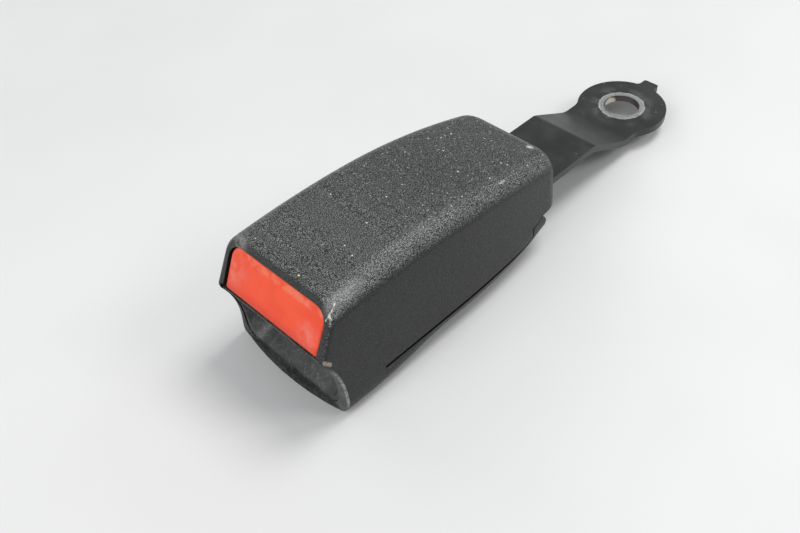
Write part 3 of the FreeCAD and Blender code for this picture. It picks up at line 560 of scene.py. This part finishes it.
def spring_wire():
    p = Painter("spring_wire")
    drawn = p.noise(0.4 * MM, 3.0, 0.6)
    colour = p.mix(p.ramp(drawn, 0.35, 0.7), WIRE_DARK, WIRE_PALE)
    roughness = p.ramp(drawn, 0.3, 0.7, 0.22, 0.36)
    return p.finish(colour, roughness, p.bump(drawn, 0.01 * MM, 0.3), 1.0)


def soft_rubber():
    p = Painter("soft_rubber")
    fine = p.noise(0.6 * MM, 4.0, 0.6)
    colour = p.mix(p.ramp(fine, 0.4, 0.7), RUBBER_DARK, RUBBER_PALE)
    roughness = p.ramp(fine, 0.3, 0.7, 0.68, 0.82)
    return p.finish(colour, roughness, p.bump(fine, 0.04 * MM, 0.4))


def pale_floor():
    p = Painter("pale_floor")
    clouds = p.noise(120 * MM, 3.0)
    colour = p.mix(p.ramp(clouds, 0.3, 0.7), FLOOR_DARK, FLOOR_PALE)
    return p.finish(colour, 0.55, p.bump(p.noise(0.9 * MM), 0.02 * MM, 0.2))


def smoothing_group():
    # smooth faces with sharp edges where the faces meet at more than SMOOTH_ANGLE
    group = bpy.data.node_groups.new("smooth_by_angle", "GeometryNodeTree")
    for side in ("INPUT", "OUTPUT"):
        group.interface.new_socket("Geometry", in_out=side, socket_type="NodeSocketGeometry")
    start = group.nodes.new("NodeGroupInput")
    end = group.nodes.new("NodeGroupOutput")
    weld = group.nodes.new("GeometryNodeMergeByDistance")
    weld.inputs["Distance"].default_value = WELD_DISTANCE
    faces = group.nodes.new("GeometryNodeSetShadeSmooth")
    edges = group.nodes.new("GeometryNodeSetShadeSmooth")
    edges.domain = "EDGE"
    angle = group.nodes.new("GeometryNodeInputMeshEdgeAngle")
    smooth = group.nodes.new("FunctionNodeCompare")
    smooth.operation = "LESS_THAN"
    smooth.inputs[1].default_value = math.radians(SMOOTH_ANGLE)
    link = group.links.new
    link(start.outputs[0], weld.inputs["Geometry"])
    link(weld.outputs["Geometry"], faces.inputs["Geometry"])
    link(faces.outputs["Geometry"], edges.inputs["Geometry"])
    link(angle.outputs["Unsigned Angle"], smooth.inputs[0])
    link(smooth.outputs[0], edges.inputs["Shade Smooth"])
    link(edges.outputs["Geometry"], end.inputs[0])
    return group


def dress(name, material, group):
    piece = nodes[name]
    piece.data.materials.clear()
    piece.data.materials.append(material)
    for face in piece.data.polygons:
        face.material_index = 0
    piece.modifiers.new("smooth", "NODES").node_group = group


def dress_all():
    group = smoothing_group()
    looks = {
        grained_plastic(): ["upper_housing", "lower_cover"],
        smooth_plastic(): ["tongue_guide", "ejector", "spring_retainer", "mechanism_cover"],
        button_plastic(): ["release_button"],
        painted_strap(): ["anchor_strap"],
        plated_steel(): ["buckle_frame", "frame_rivets", "latch", "latch_pin"],
        spring_wire(): ["latch_spring", "ejector_spring", "button_spring_left", "button_spring_right"],
        soft_rubber(): ["stop_pad", "upper_strap_pad", "lower_strap_pad"],
    }
    for material, names in looks.items():
        for name in names:
            dress(name, material, group)


def add_object(name, data):
    made = bpy.data.objects.new(name, data)
    bpy.context.scene.collection.objects.link(made)
    return made


# a copy of the spring, fixed to the housing with its own mesh, shown in place of the spring
def shorten_spring(name):
    # a coil that shortens as its joint moves: its far end stays, and the moving piece takes travel from it
    coil = add_object(name + "_coil", nodes[name].data.copy())
    coil.modifiers.new("smooth", "NODES").node_group = nodes[name].modifiers["smooth"].node_group
    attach(coil, "housing")
    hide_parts(name)
    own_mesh(coil)


def shorten_springs():
    for name in ("button_spring_left", "button_spring_right"):
        shorten_spring(name)
    shorten_spring("ejector_spring")
    shorten_spring("latch_spring")


def add_floor():
    corners = [(x * FLOOR_REACH, y * FLOOR_REACH, TABLE) for x, y in ((-1, -1), (1, -1), (1, 1), (-1, 1))]
    mesh = bpy.data.meshes.new("floor")
    mesh.from_pydata(corners, [], [(0, 1, 2, 3)])
    mesh.materials.append(pale_floor())
    floor = add_object("floor", mesh)


def add_lights():
    for name, (offset, size, power) in LAMPS.items():
        data = bpy.data.lights.new(name, "AREA")
        data.shape = "DISK"
        data.size = size
        data.energy = power
        lamp = add_object(name, data)
        lamp.location = AIM + offset
        lamp.rotation_euler = (-offset).to_track_quat("-Z", "Y").to_euler()
    world = bpy.data.worlds.new("studio")
    bpy.context.scene.world = world
    world.use_nodes = True
    sky = world.node_tree.nodes["Background"]
    sky.inputs["Color"].default_value = SKY_COLOUR
    sky.inputs["Strength"].default_value = SKY_STRENGTH


def add_camera():
    back = Vector((-math.sin(TURN) * math.cos(PITCH), -math.cos(TURN) * math.cos(PITCH), math.sin(PITCH)))
    right = (-back).cross(Vector((0, 0, 1))).normalized()
    up = right.cross(-back)
    rolled_right = right * math.cos(ROLL) + up * math.sin(ROLL)
    rolled_up = up * math.cos(ROLL) - right * math.sin(ROLL)
    data = bpy.data.cameras.new("camera")
    data.lens = LENS
    data.sensor_width = SENSOR
    data.sensor_fit = "HORIZONTAL"
    data.clip_start = CLIP_START
    camera = add_object("camera", data)
    axes = Matrix((rolled_right, rolled_up, back)).transposed().to_4x4()
    camera.matrix_world = Matrix.Translation(AIM + back * DISTANCE) @ axes
    bpy.context.scene.camera = camera


dress_all()
shorten_springs()
add_floor()
add_lights()
add_camera()
bpy.context.scene.view_settings.view_transform = "Standard"
